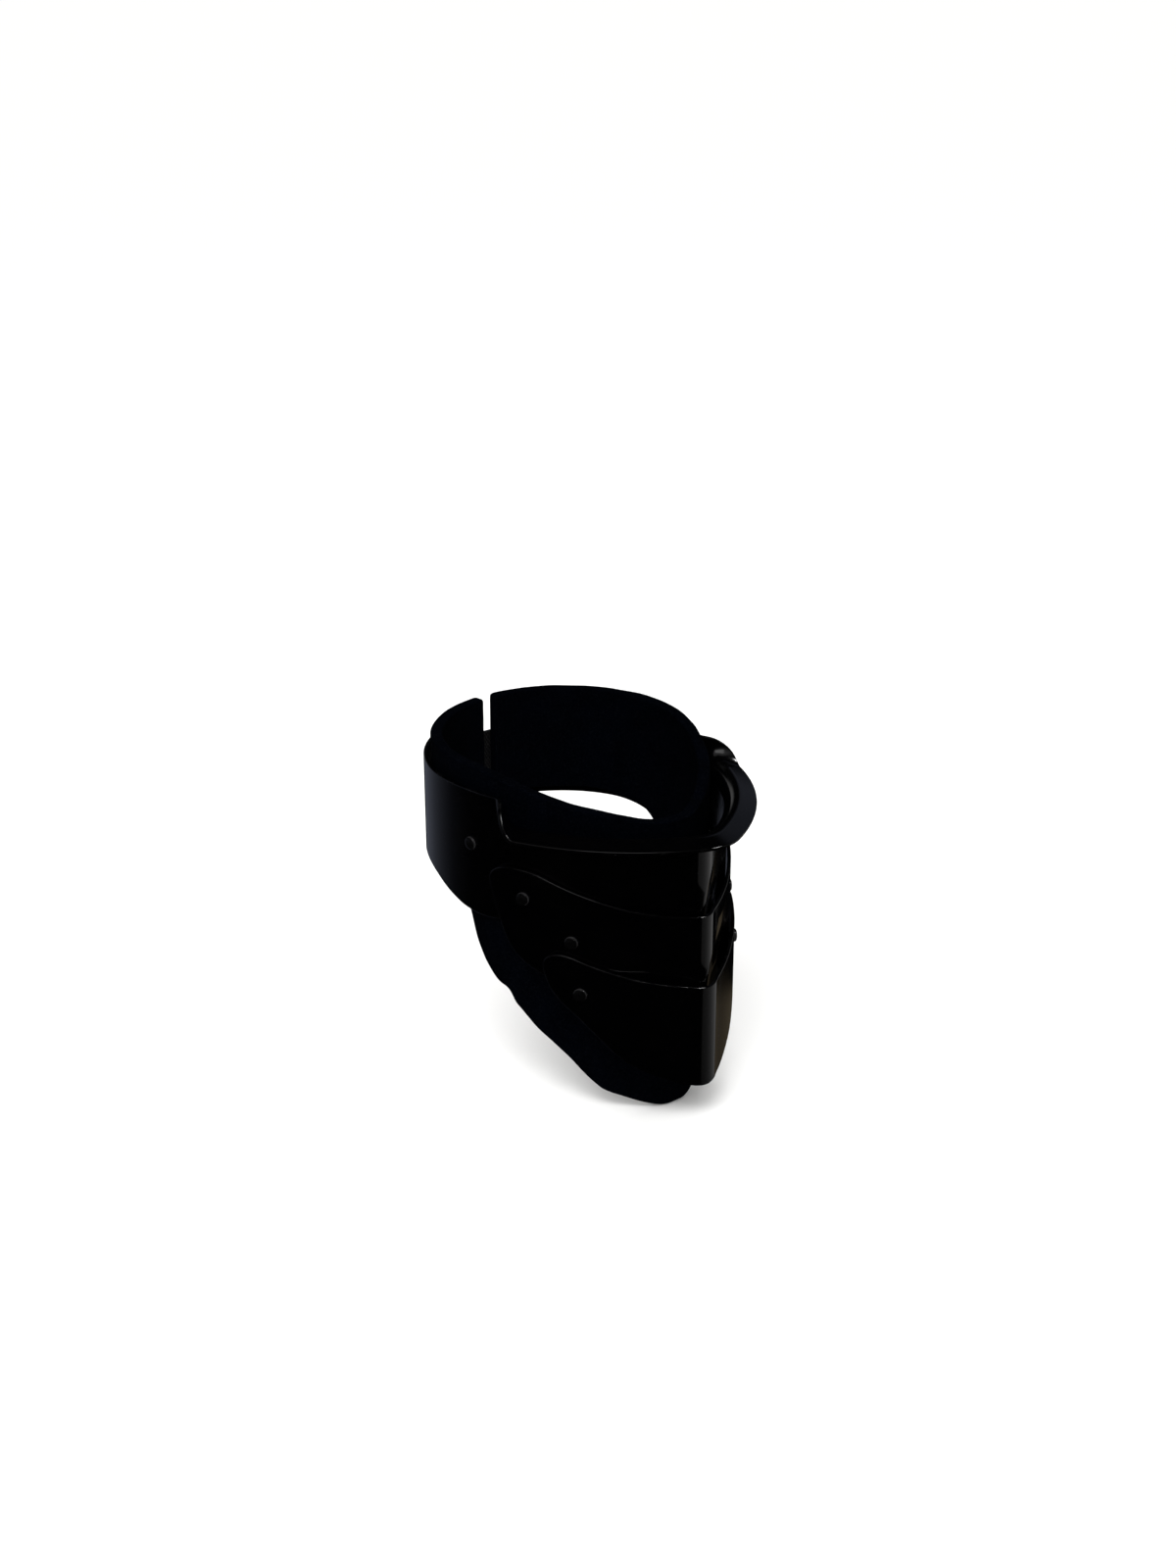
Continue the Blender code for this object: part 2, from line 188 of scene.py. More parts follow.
# Rivets on the wearer's left: along, height, innermost and outermost layer, body
RIVETS = (
    (0.492 * PLATE_PLAN.half_girth, 0.548 * BAND_HEIGHT, 0, 0, "collar"),
    (UPPER_PIVOT_ALONG, UPPER_PIVOT_HEIGHT, 0, 1, "collar"),
    (0.593 * MIDDLE_REACH, MIDDLE_TOP - 0.473 * MIDDLE_HEIGHT, 1, 1, "middle"),
    (LOWER_PIVOT_ALONG, LOWER_PIVOT_HEIGHT, 1, 2, "middle"),
)


def smooth_rows(rows, position):
    """Reads a table at a fractional row number along a smooth curve through its rows."""
    last = len(rows) - 1
    index = min(int(position), last - 1)
    share = position - index
    before, start, end, after = (rows[min(max(index + step, 0), last)] for step in (-1, 0, 1, 2))
    values = []
    for p, a, b, n in zip(before, start, end, after):
        cubic = (3 * (a - b) + n - p) * share**3
        square = (2 * p - 5 * a + 4 * b - n) * share**2
        values.append(a + (cubic + square + (b - p) * share) / 2)
    return values


def height_at(rows, share):
    """Reads the second column of a table at a share in its first."""
    low = max(i for i in range(len(rows) - 1) if rows[i][0] <= share)
    span = rows[low + 1][0] - rows[low][0]
    return smooth_rows(rows, low + (share - rows[low][0]) / span)[1]


def ease(share):
    share = min(max(share, 0.0), 1.0)
    return share * share * (3 - 2 * share)


def rim_height(sections, reach, top, height, along):
    """The height of a lame's upper rim at a distance along from the keel."""
    return top - height * height_at(sections, min(abs(along) / reach, 1.0))


def eased_run(distance):
    """How far a lean has come after a distance, when it sets in smoothly."""
    share = distance / TUCK_EASE
    if share <= 0:
        return 0.0
    return TUCK_EASE * (share**3 - share**4 / 2) if share < 1 else distance - TUCK_EASE / 2


def tuck(along, s, rim, start):
    """How far inwards a plate has leaned at a height, under the rim of the next lame."""
    fade = 1.0 - ease((abs(along) - TUCK_FULL) / (TUCK_END - TUCK_FULL))
    if fade <= 0:
        return 0.0
    start = min(start + TUCK_RISE * abs(along), TUCK_MOST)
    below = rim(along) + start - s
    return fade * TUCK_SLOPE * (eased_run(below) - eased_run(below - start - TUCK_UNDER))


def tuck_creases(rim, start):
    """Spots along the line where a plate starts to lean, for its mesh to follow."""
    spots = []
    for along in steps_between(-TUCK_END, TUCK_END, CREASE_STEP):
        line = rim(along) + min(start + TUCK_RISE * abs(along), TUCK_MOST)
        spots += [Vector((along, line - TUCK_EASE * share)) for share in (0.0, 0.5, 1.0)]
    return spots


def pinch(along):
    """How far inwards a lame is hammered beside its keel."""
    distance = abs(along)
    if distance < PINCH_PEAK:
        return PINCH * ease(distance / PINCH_PEAK)
    return PINCH * (1.0 - ease((distance - PINCH_PEAK) / (PINCH_END - PINCH_PEAK)))


def middle_rim(along):
    return rim_height(MIDDLE_SECTIONS, MIDDLE_REACH, MIDDLE_TOP, MIDDLE_HEIGHT, along)


def lower_rim(along):
    return rim_height(LOWER_SECTIONS, LOWER_REACH, LOWER_TOP, LOWER_HEIGHT, along)


# ---- sheets cut flat, then rolled

def evenly(outline, step):
    """A closed outline with its points a step apart."""
    loop = outline + outline[:1]
    lengths = [0.0]
    for a, b in zip(loop, loop[1:]):
        lengths.append(lengths[-1] + (b - a).length)
    count = max(8, round(lengths[-1] / step))
    points, index = [], 0
    for number in range(count):
        target = lengths[-1] * number / count
        while lengths[index + 1] < target:
            index += 1
        span = lengths[index + 1] - lengths[index]
        share = (target - lengths[index]) / span if span else 0.0
        points.append(loop[index].lerp(loop[index + 1], share))
    return points


def eased_corners(outline, rounds):
    """Rounds an outline's corners as a file does."""
    for _ in range(rounds):
        outline = [
            (outline[i - 1] + outline[(i + 1) % len(outline)]) * 0.25 + outline[i] * 0.5
            for i in range(len(outline))
        ]
    return outline


def outward_directions(outline):
    """For an outline that runs anticlockwise."""
    directions = []
    for i in range(len(outline)):
        run = (outline[(i + 1) % len(outline)] - outline[i - 1]).normalized()
        directions.append(Vector((run.y, -run.x)))
    return directions


def is_inside(point, outline):
    x, y = point
    inside = False
    for a, b in zip(outline, outline[1:] + outline[:1]):
        if (a.y > y) != (b.y > y) and x < a.x + (y - a.y) * (b.x - a.x) / (b.y - a.y):
            inside = not inside
    return inside


def steps_between(start, end, step):
    count = max(1, round((end - start) / step))
    return [start + (end - start) * i / count for i in range(count)]


def tree_of(spots):
    """A search tree of flat spots."""
    tree = kdtree.KDTree(len(spots))
    for i, spot in enumerate(spots):
        tree.insert((spot.x, spot.y, 0), i)
    tree.balance()
    return tree


def filled(outline, holes, alongs, heights, creases):
    """Points and triangles that fill an outline round its holes, on a net and along creases."""
    points = list(outline)
    edges = [(i, (i + 1) % len(outline)) for i in range(len(outline))]
    for hole in holes:
        first = len(points)
        points += hole
        edges += [(first + i, first + (i + 1) % len(hole)) for i in range(len(hole))]
    near = tree_of(points)
    coarse = outline[::2]
    points += [
        spot for spot in creases
        if near.find((spot.x, spot.y, 0))[2] > CREASE_ROOM and is_inside(spot, coarse)
    ]
    near = tree_of(points)
    centres = [sum(hole, Vector((0, 0))) / len(hole) for hole in holes]

    def in_hole(spot, room):
        return any((spot - centre).length < HOLE_RADIUS + room for centre in centres)

    for i, along in enumerate(alongs):
        span = alongs[min(i + 1, len(alongs) - 1)] - alongs[max(i - 1, 0)]
        room = max(ROOM_SHARE * min(span, ROOM_STEP), LEAST_ROOM)
        for height in heights:
            spot = Vector((along, height))
            clear = near.find((along, height, 0))[2] >= room and is_inside(spot, coarse)
            if clear and not in_hole(spot, 0.0005):
                points.append(spot)
    found, _, faces, origins, _, _ = delaunay_2d_cdt(points, edges, [], 1, 1e-8)
    place = {source: i for i, sources in enumerate(origins) for source in sources}
    kept = []
    for a, b, c in faces:
        if not in_hole((found[a] + found[b] + found[c]) / 3, -0.0001):
            kept.append((a, b, c))
    loops, first = [], 0
    for loop in (outline, *holes):
        loops.append([place[first + i] for i in range(len(loop))])
        first += len(loop)
    return found, kept, loops


def put_in_scene(name, data):
    """A new object for its data, linked to the scene."""
    piece = bpy.data.objects.new(name, data)
    bpy.context.scene.collection.objects.link(piece)
    return piece


def rolled_sheet(name, outline, surface, thickness, edge_round, alongs, heights,
                 holes=(), creases=()):
    """A sheet with rounded rims: cut flat to an outline, pierced, and rolled on a surface.

    The mesh keeps the flat sheet as its UV map, in metres, and how near the rim is as "rim".
    """
    outward = outward_directions(outline)
    face_outline = [p - edge_round * d for p, d in zip(outline, outward)]
    flat, triangles, loops = filled(face_outline, holes, alongs, heights, creases)
    rim_tree = tree_of(outline)

    points, normals, sheet_uv, rim = [], [], [], []

    def frame_at(spot):
        a, s, gap = spot.x, spot.y, 0.00004
        place = surface(a, s)
        run = (surface(a + gap, s) - surface(a - gap, s)).normalized()
        rise = (surface(a, s + gap) - surface(a, s - gap)).normalized()
        return place, run, rise, run.cross(rise).normalized()

    def add(spot, depth, tilt=None, share=0.0):
        place, run, rise, normal = frame_at(spot)
        points.append(place - depth * normal)
        if tilt is not None:
            side = (tilt.x * run + tilt.y * rise).normalized()
            normal = (cos(share) * normal + sin(share) * side).normalized()
        normals.append(normal)
        sheet_uv.append((spot.x, spot.y))
        rim.append(1.0 - min(rim_tree.find((spot.x, spot.y, 0))[2] / RIM_BAND, 1.0))
        return len(points) - 1

    outer = [add(spot, 0.0) for spot in flat]
    inner = []
    for spot in flat:
        inner.append(add(spot, thickness))
        normals[-1] = -normals[-1]
    faces = [tuple(outer[i] for i in face) for face in triangles]
    faces += [tuple(inner[i] for i in reversed(face)) for face in triangles]

    def ring(angle, depth):
        """A ring of the rim, at an angle round its edge and a depth under the outer face."""
        shift = edge_round * sin(angle)
        return [add(p + shift * d, depth, d, angle) for p, d in zip(face_outline, outward)]

    # the rim: a round, a flat and a round
    quarter = [pi / 2 * turn / RIM_STEPS for turn in range(1, RIM_STEPS + 1)]
    rings = [[outer[i] for i in loops[0]]]
    rings += [ring(angle, edge_round * (1 - cos(angle))) for angle in quarter]
    rings.append(ring(pi / 2, thickness - edge_round))
    for angle in quarter[:-1]:
        rings.append(ring(pi / 2 + angle, thickness - edge_round * (1 + cos(pi / 2 + angle))))
    rings.append([inner[i] for i in loops[0]])
    walls = list(zip(rings, rings[1:]))
    walls += [([outer[i] for i in hole], [inner[i] for i in hole]) for hole in loops[1:]]
    for upper, lower in walls:
        for i in range(len(upper)):
            j = (i + 1) % len(upper)
            faces.append((upper[i], lower[i], lower[j], upper[j]))

    mesh = bpy.data.meshes.new(name)
    mesh.from_pydata([tuple(p) for p in points], [], faces)
    uv = mesh.uv_layers.new(name="sheet")
    for loop in mesh.loops:
        uv.data[loop.index].uv = sheet_uv[loop.vertex_index]
    mark = mesh.attributes.new("rim", "FLOAT", "POINT")
    mark.data.foreach_set("value", rim)
    mesh.shade_smooth()
    mesh.normals_split_custom_set_from_vertices([tuple(n) for n in normals])
    mesh.update()
    return put_in_scene(name, mesh)


def net_alongs(plan, end, step, keel_step=KEEL_STEP, fine=()):
    """Lines up a sheet: close together round the keel and in the spans that are named fine."""
    half, place = [], 0.0
    while place < end:
        half.append(place)
        close = keel_step if place < plan.nose_length + 0.0006 else step
        for low, high, size in fine:
            if low <= place <= high:
                close = min(close, size)
        place += close
    return [-a for a in reversed(half[1:])] + half


def hole_loops(layer):
    """The round holes of the rivets that pass through a layer, each clockwise."""
    holes = []
    for along, height, inner, outer, _ in RIVETS:
        if inner <= layer <= outer:
            for side in (-1, 1):
                turns = [-2 * pi * i / HOLE_SIDES for i in range(HOLE_SIDES)]
                holes.append([Vector((side * along + HOLE_RADIUS * cos(turn),
                                      height + HOLE_RADIUS * sin(turn))) for turn in turns])
    return holes


def neck_plate_surface(along, s):
    """The neck plate's outer face: a wall, then a strip that turns outwards over the throat."""
    point, outward = PLATE_PLAN.place(along)
    turn = FLANGE_TURN * ease((FLANGE_END - abs(along)) / (FLANGE_END - FLANGE_START))
    rise = s - FOLD_HEIGHT
    if rise <= 0 or turn < 1e-4:
        return point - tuck(along, s, middle_rim, NECK_TUCK_START) * outward + Vector((0, 0, s))
    bend = min(rise, BEND_LENGTH)
    angle = turn * bend / BEND_LENGTH
    radius = BEND_LENGTH / turn
    out, up = radius * (1 - cos(angle)), radius * sin(angle)
    if rise > BEND_LENGTH:
        out += (rise - BEND_LENGTH) * sin(turn)
        up += (rise - BEND_LENGTH) * cos(turn)
    return point + out * outward + Vector((0, 0, FOLD_HEIGHT + up))


def lame_surface(layer, next_rim=None):
    def surface(along, s):
        point, outward = PLATE_PLAN.place(along)
        inwards = tuck(along, s, next_rim, MIDDLE_TUCK_START) if next_rim else 0.0
        return point + (layer * LAYER - inwards - pinch(along)) * outward + Vector((0, 0, s))
    return surface


def make_neck_plate():
    end = PLATE_PLAN.half_girth - BACK_GAP / 2
    alongs = steps_between(-end, end, TABLE_STEP) + [end]
    lower = [
        Vector((a, BAND_HEIGHT * height_at(BAND_LOWER_EDGE, abs(a) / PLATE_PLAN.half_girth)))
        for a in alongs
    ]
    upper = [Vector((a, BAND_HEIGHT)) for a in reversed(alongs)]
    outline = evenly(eased_corners(evenly(lower + upper, DRAWN_STEP), BAND_ROUNDS), CUT_STEP)
    turned = (FLANGE_START - 0.002, FLANGE_END + 0.002, 0.0010)
    net = net_alongs(PLATE_PLAN, end, NET_STEP, fine=(turned,))
    heights = steps_between(-0.008, FOLD_HEIGHT, FINE_STEP)
    heights += steps_between(FOLD_HEIGHT, FOLD_HEIGHT + BEND_LENGTH, FOLD_STEP)
    heights += steps_between(FOLD_HEIGHT + BEND_LENGTH, BAND_HEIGHT, FINE_STEP)
    return rolled_sheet("gloss_neck_plate", outline, neck_plate_surface, PLATE, PLATE_EDGE_ROUND,
                        net, heights, hole_loops(0), tuck_creases(middle_rim, NECK_TUCK_START))


def make_lame(name, sections, reach, top, height, layer, next_rim=None):
    last = len(sections) - 1
    upper, lower = [], []
    for step in range(-60 * last, 60 * last + 1):
        side = -1 if step < 0 else 1
        high, high_drop, low, low_drop = smooth_rows(sections, abs(step) / 60)
        upper.append(Vector((side * reach * high, top - height * high_drop)))
        lower.append(Vector((side * reach * low, top - height * low_drop)))
    drawn = evenly(lower + upper[::-1], DRAWN_STEP)
    outline = evenly(eased_corners(drawn, LAME_ROUNDS), CUT_STEP)
    net = net_alongs(PLATE_PLAN, reach, NET_STEP)
    heights = steps_between(top - height, top, FINE_STEP if next_rim else NET_STEP)
    return rolled_sheet(name, outline, lame_surface(layer, next_rim), PLATE, PLATE_EDGE_ROUND,
                        net, heights, hole_loops(layer),
                        tuck_creases(next_rim, MIDDLE_TUCK_START) if next_rim else ())


def pad_surface(along, s):
    """The foam slab's outer face, a little uneven as cut and flexed foam is."""
    point, outward = PAD_PLAN.place(along)
    place = point + Vector((0, 0, s))
    swell = noise.noise(place * 45.0) * 0.00035
    swell += noise.noise(place * 120.0 + Vector((7, 3, 1))) * 0.00012
    return place + (swell - 0.0003) * outward


def make_pad():
    end = PAD_PLAN.half_girth - PAD_BACK_GAP / 2
    alongs = steps_between(-end, end, TABLE_STEP) + [end]
    lower, upper = [], []
    for a in alongs:
        share = abs(a) / end
        wobble = 0.00035 * noise.noise(Vector((a * 90.0, 0.0, 4.0)))
        lower.append(Vector((a, PAD_DROP * height_at(PAD_LOWER_EDGE, share) + wobble)))
        wobble = 0.00030 * noise.noise(Vector((a * 80.0, 9.0, 1.0)))
        upper.append(Vector((a, PAD_TOP * height_at(PAD_UPPER_EDGE, share) + wobble)))
    drawn = evenly(lower + upper[::-1], PAD_DRAWN_STEP)
    outline = evenly(eased_corners(drawn, PAD_ROUNDS), PAD_CUT_STEP)
    net = net_alongs(PAD_PLAN, end, PAD_NET_STEP, PAD_KEEL_STEP)
    heights = steps_between(-PAD_DROP, PAD_TOP, PAD_RISE_STEP)
    return rolled_sheet("foam_neck_pad", outline, pad_surface, PAD_THICKNESS, PAD_EDGE_ROUND,
                        net, heights)


def strap_surface(along, s):
    """Webbing that lies over the opening at the nape."""
    girth = PLATE_PLAN.half_girth
    point, outward = PLATE_PLAN.place(girth + along)
    return point + (STRAP_CLEARANCE + STRAP_THICKNESS) * outward + Vector((0, 0, s))


def make_strap():
    half = STRAP_LENGTH / 2
    low, high = STRAP_HEIGHT - STRAP_WIDTH / 2, STRAP_HEIGHT + STRAP_WIDTH / 2
    corners = [Vector(p) for p in ((half, low), (half, high), (-half, high), (-half, low))]
    outline = evenly(eased_corners(evenly(corners, DRAWN_STEP), STRAP_ROUNDS), STRAP_CUT_STEP)
    net = steps_between(-half, half, STRAP_NET_STEP)
    heights = steps_between(low, high, STRAP_NET_STEP)
    return rolled_sheet("nape_strap", outline, strap_surface, STRAP_THICKNESS, STRAP_EDGE_ROUND,
                        net, heights)


# ---- nodes

FLOAT, VECTOR = "NodeSocketFloat", "NodeSocketVector"


class Tree:
    """Short words for wiring a node tree."""

    def __init__(self, tree):
        self.tree = tree

    def add(self, kind, **settings):
        node = self.tree.nodes.new(kind)
        inputs = settings.pop("inputs", {})
        for key, value in settings.items():
            setattr(node, key, value)
        for key, value in inputs.items():
            self.feed(node.inputs[key], value)
        return node

    def shape(self, kind, **settings):
        """Adds a geometry node and gives its first output."""
        return self.add("GeometryNode" + kind, **settings).outputs[0]

    def feed(self, socket, value):
        if isinstance(value, bpy.types.NodeSocket):
            self.tree.links.new(value, socket)
        else:
            socket.default_value = value

    def math(self, operation, *values, clamp=False):
        node = self.add("ShaderNodeMath", operation=operation, use_clamp=clamp)
        for socket, value in zip(node.inputs, values):
            self.feed(socket, value)
        return node.outputs[0]

    def times(self, first, second, clamp=False):
        return self.math("MULTIPLY", first, second, clamp=clamp)

    def plus(self, first, second, clamp=False):
        return self.math("ADD", first, second, clamp=clamp)

    def minus(self, first, second, clamp=False):
        return self.math("SUBTRACT", first, second, clamp=clamp)

    def ramp(self, value, low, high, to_low=0.0, to_high=1.0):
        """A smooth step of a value between two levels."""
        node = self.add("ShaderNodeMapRange", interpolation_type="SMOOTHSTEP", inputs={
            "Value": value, "From Min": low, "From Max": high, "To Min": to_low, "To Max": to_high})
        return node.outputs["Result"]

    def mix(self, share, first, second):
        """A share of the second colour over the first."""
        node = self.add("ShaderNodeMix", data_type="RGBA")
        self.feed(node.inputs[0], share)
        for socket, colour in ((node.inputs[6], first), (node.inputs[7], second)):
            self.feed(socket, (*colour, 1) if isinstance(colour, tuple) else colour)
        return node.outputs[2]

    def noise(self, vector, scale, detail=2.0, roughness=0.5):
        node = self.add("ShaderNodeTexNoise", inputs={
            "Vector": vector, "Scale": scale, "Detail": detail, "Roughness": roughness})
        return node.outputs["Fac"]

    def cells(self, vector, scale):
        """Round cells: the distance from a cell's middle, and a colour of its own for each."""
        return self.add("ShaderNodeTexVoronoi", inputs={"Vector": vector, "Scale": scale}).outputs

    def split(self, vector):
        return self.add("ShaderNodeSeparateXYZ", inputs={"Vector": vector}).outputs

    def joined(self, x, y, z):
        return self.add("ShaderNodeCombineXYZ", inputs={"X": x, "Y": y, "Z": z}).outputs[0]

    def channel(self, colour, index):
        return self.add("ShaderNodeSeparateColor", inputs={"Color": colour}).outputs[index]

    def bump(self, strength, distance, height):
        """The normal of a slight relief."""
        return self.add("ShaderNodeBump", inputs={
            "Strength": strength, "Distance": distance, "Height": height}).outputs["Normal"]

    def group(self, group, **inputs):
        inputs = {key.replace("_", " "): value for key, value in inputs.items()}
        return self.add("ShaderNodeGroup", node_tree=group, inputs=inputs).outputs


def new_group(name, inputs, outputs):
    """A shader node group with named sockets. Its first input is the position."""
    group = bpy.data.node_groups.new(name, "ShaderNodeTree")
    group.interface.new_socket("Position", in_out="INPUT", socket_type=VECTOR)
    for label, default in inputs:
        socket = group.interface.new_socket(label, in_out="INPUT", socket_type=FLOAT)
        socket.default_value = default
    for label in outputs:
        group.interface.new_socket(label, in_out="OUTPUT", socket_type=FLOAT)
    tree = Tree(group)
    return group, tree, tree.add("NodeGroupInput").outputs, tree.add("NodeGroupOutput").inputs


def make_handling_group():
    """Handling marks: a smudge mask, sparse dust and fine scuffs that gather at rims."""
    group, tree, given, put = new_group(
        "handling_marks", (("Rim", 0.0), ("Scuff Amount", 0.5), ("Dust Amount", 0.5)),
        ("Smudge", "Scuff", "Dust"),
    )
    position = given["Position"]
    tree.feed(put["Smudge"], tree.ramp(tree.noise(position, 28.0, 3.0, 0.6), 0.42, 0.72))
    near_rim = tree.ramp(given["Rim"], 0.80, 1.0)
    patchy = tree.ramp(tree.noise(position, 120.0, 2.0, 0.5), 0.45, 0.70)
    grit = tree.ramp(tree.noise(position, 900.0, 3.0, 0.65), 0.40, 0.62)
    worn = tree.times(tree.times(near_rim, patchy), grit)
    tree.feed(put["Scuff"], tree.times(worn, given["Scuff Amount"], clamp=True))
    specks = tree.cells(position, 260.0)
    dot = tree.minus(1.0, tree.ramp(specks["Distance"], 0.03, 0.09))
    rare = tree.math("GREATER_THAN", tree.channel(specks["Color"], 0), 0.90)
    film = tree.ramp(tree.noise(position, 60.0, 4.0, 0.7), 0.45, 0.85)
    dust = tree.plus(tree.times(dot, rare), tree.times(film, 0.25))
    tree.feed(put["Dust"], tree.times(dust, given["Dust Amount"], clamp=True))
    return group


def make_coat_skin_group():
    """The height of a sprayed coat: fine orange peel over long, slight waves in the sheet."""
    group, tree, given, put = new_group(
        "coat_skin", (("Peel Size", 0.0012), ("Peel", 0.2), ("Wave", 1.0)), ("Height",))
    scale = tree.math("DIVIDE", 1.0, given["Peel Size"])
    peel = tree.times(tree.noise(given["Position"], scale, 1.0, 0.4), given["Peel"])
    wave = tree.times(tree.noise(given["Position"], 22.0, 1.0, 0.4), given["Wave"])
    tree.feed(put["Height"], tree.plus(peel, wave))
    return group


def make_fleck_group():
    """Pale flecks scattered in a dark material, and the pitted height that goes with them."""
    group, tree, given, put = new_group(
        "flecks", (("Size", 0.0008), ("Cover", 0.4)), ("Fleck", "Height", "Mottle"))
    scale = tree.math("DIVIDE", 1.0, given["Size"])
    cell = tree.cells(given["Position"], scale)
    chosen = tree.math("GREATER_THAN", given["Cover"], tree.channel(cell["Color"], 1))
    dot = tree.minus(1.0, tree.ramp(cell["Distance"], 0.10, 0.50))
    tree.feed(put["Fleck"], tree.times(dot, chosen))
    fuzz = tree.noise(given["Position"], tree.times(scale, 1.7), 3.0, 0.7)
    tree.feed(put["Height"], tree.plus(tree.times(cell["Distance"], 0.6), fuzz))
    tree.feed(put["Mottle"], tree.ramp(tree.noise(given["Position"], 70.0, 3.0, 0.6), 0.3, 0.7))
    return group


def new_material(name, **constants):
    """A material whose constant numbers sit on the shader's own sockets."""
    material = bpy.data.materials.new(name)
    material.use_nodes = True
    tree = Tree(material.node_tree)
    shader = material.node_tree.nodes["Principled BSDF"].inputs
    for key, value in constants.items():
        shader[key.replace("_", " ")].default_value = value
    return material, tree, shader, tree.add("ShaderNodeTexCoord").outputs["Object"]


HANDLING = make_handling_group()
COAT_SKIN = make_coat_skin_group()
FLECKS = make_fleck_group()


def make_gloss_black():
    """A hard gloss black coat on steel: near-black, mirror-smooth, with scuffed rims."""
    coat = (0.00012, 0.00012, 0.00020)
    scuffed, dusty = (0.006, 0.006, 0.0063), (0.003, 0.003, 0.0033)
    material, tree, shader, position = new_material(
        "gloss_black_coat", IOR=1.5, Coat_Weight=0.35, Coat_Roughness=0.04, Coat_IOR=1.5)
    rim = tree.add("ShaderNodeAttribute", attribute_name="rim").outputs["Fac"]
    marks = tree.group(HANDLING, Position=position, Rim=rim, Scuff_Amount=0.45, Dust_Amount=0.30)
    skin = tree.group(COAT_SKIN, Position=position, Peel_Size=0.0013, Peel=0.05, Wave=1.0)
    worn = tree.mix(marks["Scuff"], coat, scuffed)
    tree.feed(shader["Base Color"], tree.mix(marks["Dust"], worn, dusty))
    rough = tree.plus(tree.times(marks["Smudge"], 0.05), 0.11)
    rough = tree.plus(rough, tree.times(marks["Scuff"], 0.25))
    rough = tree.plus(rough, tree.times(marks["Dust"], 0.2), clamp=True)
    tree.feed(shader["Roughness"], rough)
    tree.feed(shader["Normal"], tree.bump(0.35, 0.0004, skin["Height"]))
    return material


def make_rivet_satin():
    """Blackened steel: a dark polished face, and a paler, less metallic shoulder painted as a
    highlight ring.
    """
    dark, scuffed, painted_ring_highlight = (0.010, 0.010, 0.0104), (0.022, 0.022, 0.023), (0.032, 0.032, 0.033)
    material, tree, shader, position = new_material("rivet_satin_black", IOR=1.6)
    shoulder = tree.add("ShaderNodeAttribute", attribute_name="shoulder").outputs["Fac"]
    marks = tree.group(HANDLING, Position=position, Rim=0.9, Scuff_Amount=0.5, Dust_Amount=0.3)
    skin = tree.group(COAT_SKIN, Position=position, Peel_Size=0.0005, Peel=0.4, Wave=0.0)
    face = tree.mix(marks["Scuff"], dark, scuffed)
    # the paler, less metallic shoulder is a painted highlight: the ring of reflected light round
    # the head
    tree.feed(shader["Base Color"], tree.mix(shoulder, face, painted_ring_highlight))
    tree.feed(shader["Metallic"], tree.ramp(shoulder, 0.0, 1.0, 0.92, 0.50))
    rough = tree.plus(0.17, tree.times(marks["Smudge"], 0.08))
    tree.feed(shader["Roughness"], tree.plus(rough, tree.times(marks["Dust"], 0.2)))
    tree.feed(shader["Normal"], tree.bump(0.25, 0.0001, skin["Height"]))
    return material


def make_foam():
    """Dense closed-cell foam, blue-black with pale flecks and a pitted, felt-like skin."""
    deep, pale = (0.00004, 0.00020, 0.00075), (0.00014, 0.00042, 0.00140)
    fleck = (0.0036, 0.0044, 0.0062)
    material, tree, shader, position = new_material("speckled_foam", Specular_IOR_Level=0.01)
    fine = tree.group(FLECKS, Position=position, Size=0.00036, Cover=0.55)
    large = tree.group(FLECKS, Position=position, Size=0.00062, Cover=0.12)
    flecks = tree.math("MAXIMUM", tree.times(fine["Fleck"], 0.75), large["Fleck"])
    ground = tree.mix(fine["Mottle"], deep, pale)
    tree.feed(shader["Base Color"], tree.mix(flecks, ground, fleck))
    tree.feed(shader["Roughness"], tree.minus(0.95, tree.times(flecks, 0.15)))
    height = tree.plus(fine["Height"], large["Height"])
    tree.feed(shader["Normal"], tree.bump(0.7, 0.00025, height))
    return material


def make_webbing():
    """Black polyester webbing: a plain weave that follows the strap's own flat map, with painted
    shade in its hollows.
    """
    cord_pitch, pick_pitch = 0.0026, 0.0016
    # deep is painted shade for the hollows of the weave; thread is the thread's own colour
    deep, thread = (0.0020, 0.0020, 0.0023), (0.010, 0.010, 0.011)
    pale, fluff = (0.022, 0.022, 0.022), (0.022, 0.022, 0.024)
    material, tree, shader, position = new_material(
        "black_webbing", Specular_IOR_Level=0.3, Sheen_Weight=0.06, Sheen_Roughness=0.4)
    flat = tree.add("ShaderNodeUVMap", uv_map="sheet").outputs["UV"]
    parts = tree.split(flat)
    across = tree.math("SINE", tree.times(parts["Y"], 2 * pi / cord_pitch))
    down = tree.times(parts["X"], 2 * pi / pick_pitch)
    shifted = tree.plus(down, tree.times(tree.math("SIGN", across), pi / 2))
    pick = tree.plus(0.6, tree.times(tree.math("SINE", shifted), 0.4))
    weave = tree.times(tree.math("POWER", tree.math("ABSOLUTE", across), 0.5), pick)
    lint = tree.group(FLECKS, Position=position, Size=0.0006, Cover=0.2)
    marks = tree.group(HANDLING, Position=position, Rim=0.0, Scuff_Amount=0.0, Dust_Amount=0.8)
    # the weave's low hollows take the deep colour as painted shade, and its crests show the
    # thread's own colour
    dusty = tree.mix(marks["Dust"], tree.mix(weave, deep, thread), pale)
    tree.feed(shader["Base Color"], tree.mix(tree.times(lint["Fleck"], 0.3), dusty, fluff))
    tree.feed(shader["Roughness"], tree.minus(0.88, tree.times(weave, 0.2)))
    tree.feed(shader["Normal"], tree.bump(0.9, 0.0004, weave))
    return material


# ---- rivets and stitches

